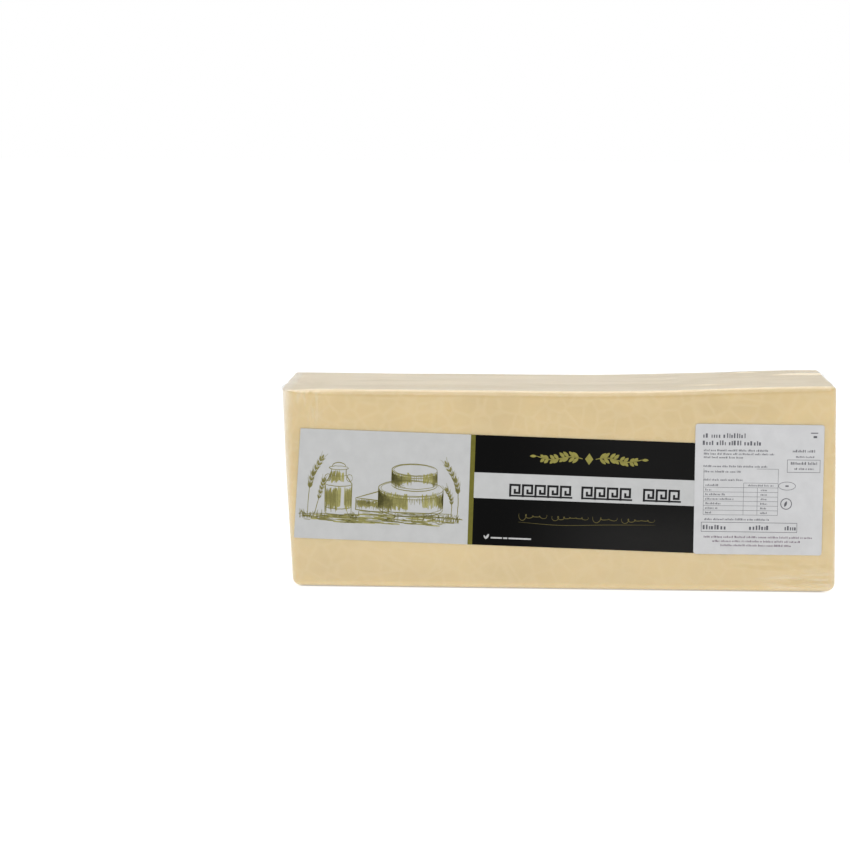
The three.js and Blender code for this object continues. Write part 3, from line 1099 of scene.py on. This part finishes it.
def make_camera():
    pitch, yaw, roll = (math.radians(t) for t in (CAMERA_PITCH, CAMERA_YAW, CAMERA_ROLL))
    ahead = Vector((-math.sin(yaw) * math.cos(pitch), math.cos(yaw) * math.cos(pitch), -math.sin(pitch)))
    right = Vector((math.cos(yaw), math.sin(yaw), 0))
    down = ahead.cross(right)
    turned_right = right * math.cos(roll) - down * math.sin(roll)
    turned_down = right * math.sin(roll) + down * math.cos(roll)
    data = bpy.data.cameras.new("camera")
    data.sensor_width = SENSOR
    data.lens = SENSOR * FOCAL_PIXELS / FRAME_PIXELS
    data.clip_end = 100
    camera = bpy.data.objects.new("camera", data)
    turn = Matrix((turned_right, -turned_down, -ahead)).transposed()
    camera.matrix_world = Matrix.Translation(Vector(CAMERA_PLACE) * MM) @ turn.to_4x4()
    bpy.context.scene.collection.objects.link(camera)
    bpy.context.scene.camera = camera


# The floor's own glow, dimmed near the block's edges as a painted contact shadow: under the block, how
# much more there is round it, and where it rises
GLOW_IN_PAINTED_SHADOW, GLOW_ROUND = 0.35, 0.46
PAINTED_SHADOW_EDGES = [
    ("Y", -0.0405, -0.0455), ("Y", 0.0405, 0.0455), ("X", -0.157, -0.163), ("X", 0.162, 0.168),
]


def make_floor():
    """A pale floor with a glow of its own, which fades out under the block into a painted contact
    shadow.
    """
    look = Look("studio_floor")
    base = look.uneven(look.noise(0.4, 2.0), (1.0, 1.0, 1.0), 0.44, 0.46)
    look.set(Base_Color=base, Roughness=0.9, Specular_IOR_Level=0.0, Emission_Color=(1, 1, 1, 1))
    # The glow rises away from the block's edges, leaving a painted contact shadow round its foot
    glow = look.fade(*PAINTED_SHADOW_EDGES[0])
    for edge in PAINTED_SHADOW_EDGES[1:]:
        glow = look.math("MAXIMUM", glow, look.fade(*edge))
    glow = look.math("ADD", look.times(glow, GLOW_ROUND), GLOW_IN_PAINTED_SHADOW)
    look.set(Emission_Strength=glow)
    r = FLOOR_REACH
    corners = [(-r, -r, 0), (r, -r, 0), (r, r, 0), (-r, r, 0)]
    floor = new_piece("floor", corners, [(0, 1, 2, 3)], [look.material], smooth=False)


# Brightness of the surroundings by the height that a ray looks to: white as far as the camera
# sees, then duller, and dim above round the softbox
SKY = [
    (-1.0, 1.0), (0.045, 1.0), (0.12, 0.9), (0.19, 0.78), (0.3, 0.6),
    (0.45, 0.82), (0.6, 0.7), (0.8, 0.4), (1.0, 0.4),
]

# Name, place, the point it aims at, size and watts
SOFTBOXES = [
    ("top_softbox", (0, -0.35, 1.45), (0, -0.35, 0), (0.6, 2.7), 8.6),
    ("back_softbox", (0, 0.75, 1.15), (0, 0.1, 0.1), (1.8, 1.4), 7.5),
    ("left_softbox", (-0.9, 0.1, 0.25), (-0.17, 0.1, 0.06), (0.5, 0.5), 0.5),
]


def make_sky():
    world = bpy.data.worlds.new("white_room")
    world.use_nodes = True
    nodes, link = world.node_tree.nodes, world.node_tree.links.new
    way = nodes.new("ShaderNodeSeparateXYZ")
    ramp = nodes.new("ShaderNodeValToRGB")
    height = nodes.new("ShaderNodeMapRange")
    height.inputs["From Min"].default_value = -1.0
    link(nodes.new("ShaderNodeTexCoord").outputs["Generated"], way.inputs[0])
    link(way.outputs["Z"], height.inputs["Value"])
    link(height.outputs["Result"], ramp.inputs["Fac"])
    link(ramp.outputs["Color"], nodes["Background"].inputs["Color"])
    set_stops(ramp, [((z + 1) / 2, (grey, grey, grey)) for z, grey in SKY])
    bpy.context.scene.world = world


def add_softbox(name, place, aim, size, watts):
    data = bpy.data.lights.new(name, "AREA")
    data.shape, data.size, data.size_y, data.energy = "RECTANGLE", size[0], size[1], watts
    light = bpy.data.objects.new(name, data)
    light.location = place
    light.rotation_euler = (Vector(aim) - Vector(place)).to_track_quat("-Z", "Y").to_euler()
    bpy.context.scene.collection.objects.link(light)


def make_light():
    make_sky()
    for softbox in SOFTBOXES:
        add_softbox(*softbox)
    bpy.context.scene.view_settings.view_transform = "Standard"


make_camera()
make_block()
make_papers()
make_print()
make_floor()
make_light()
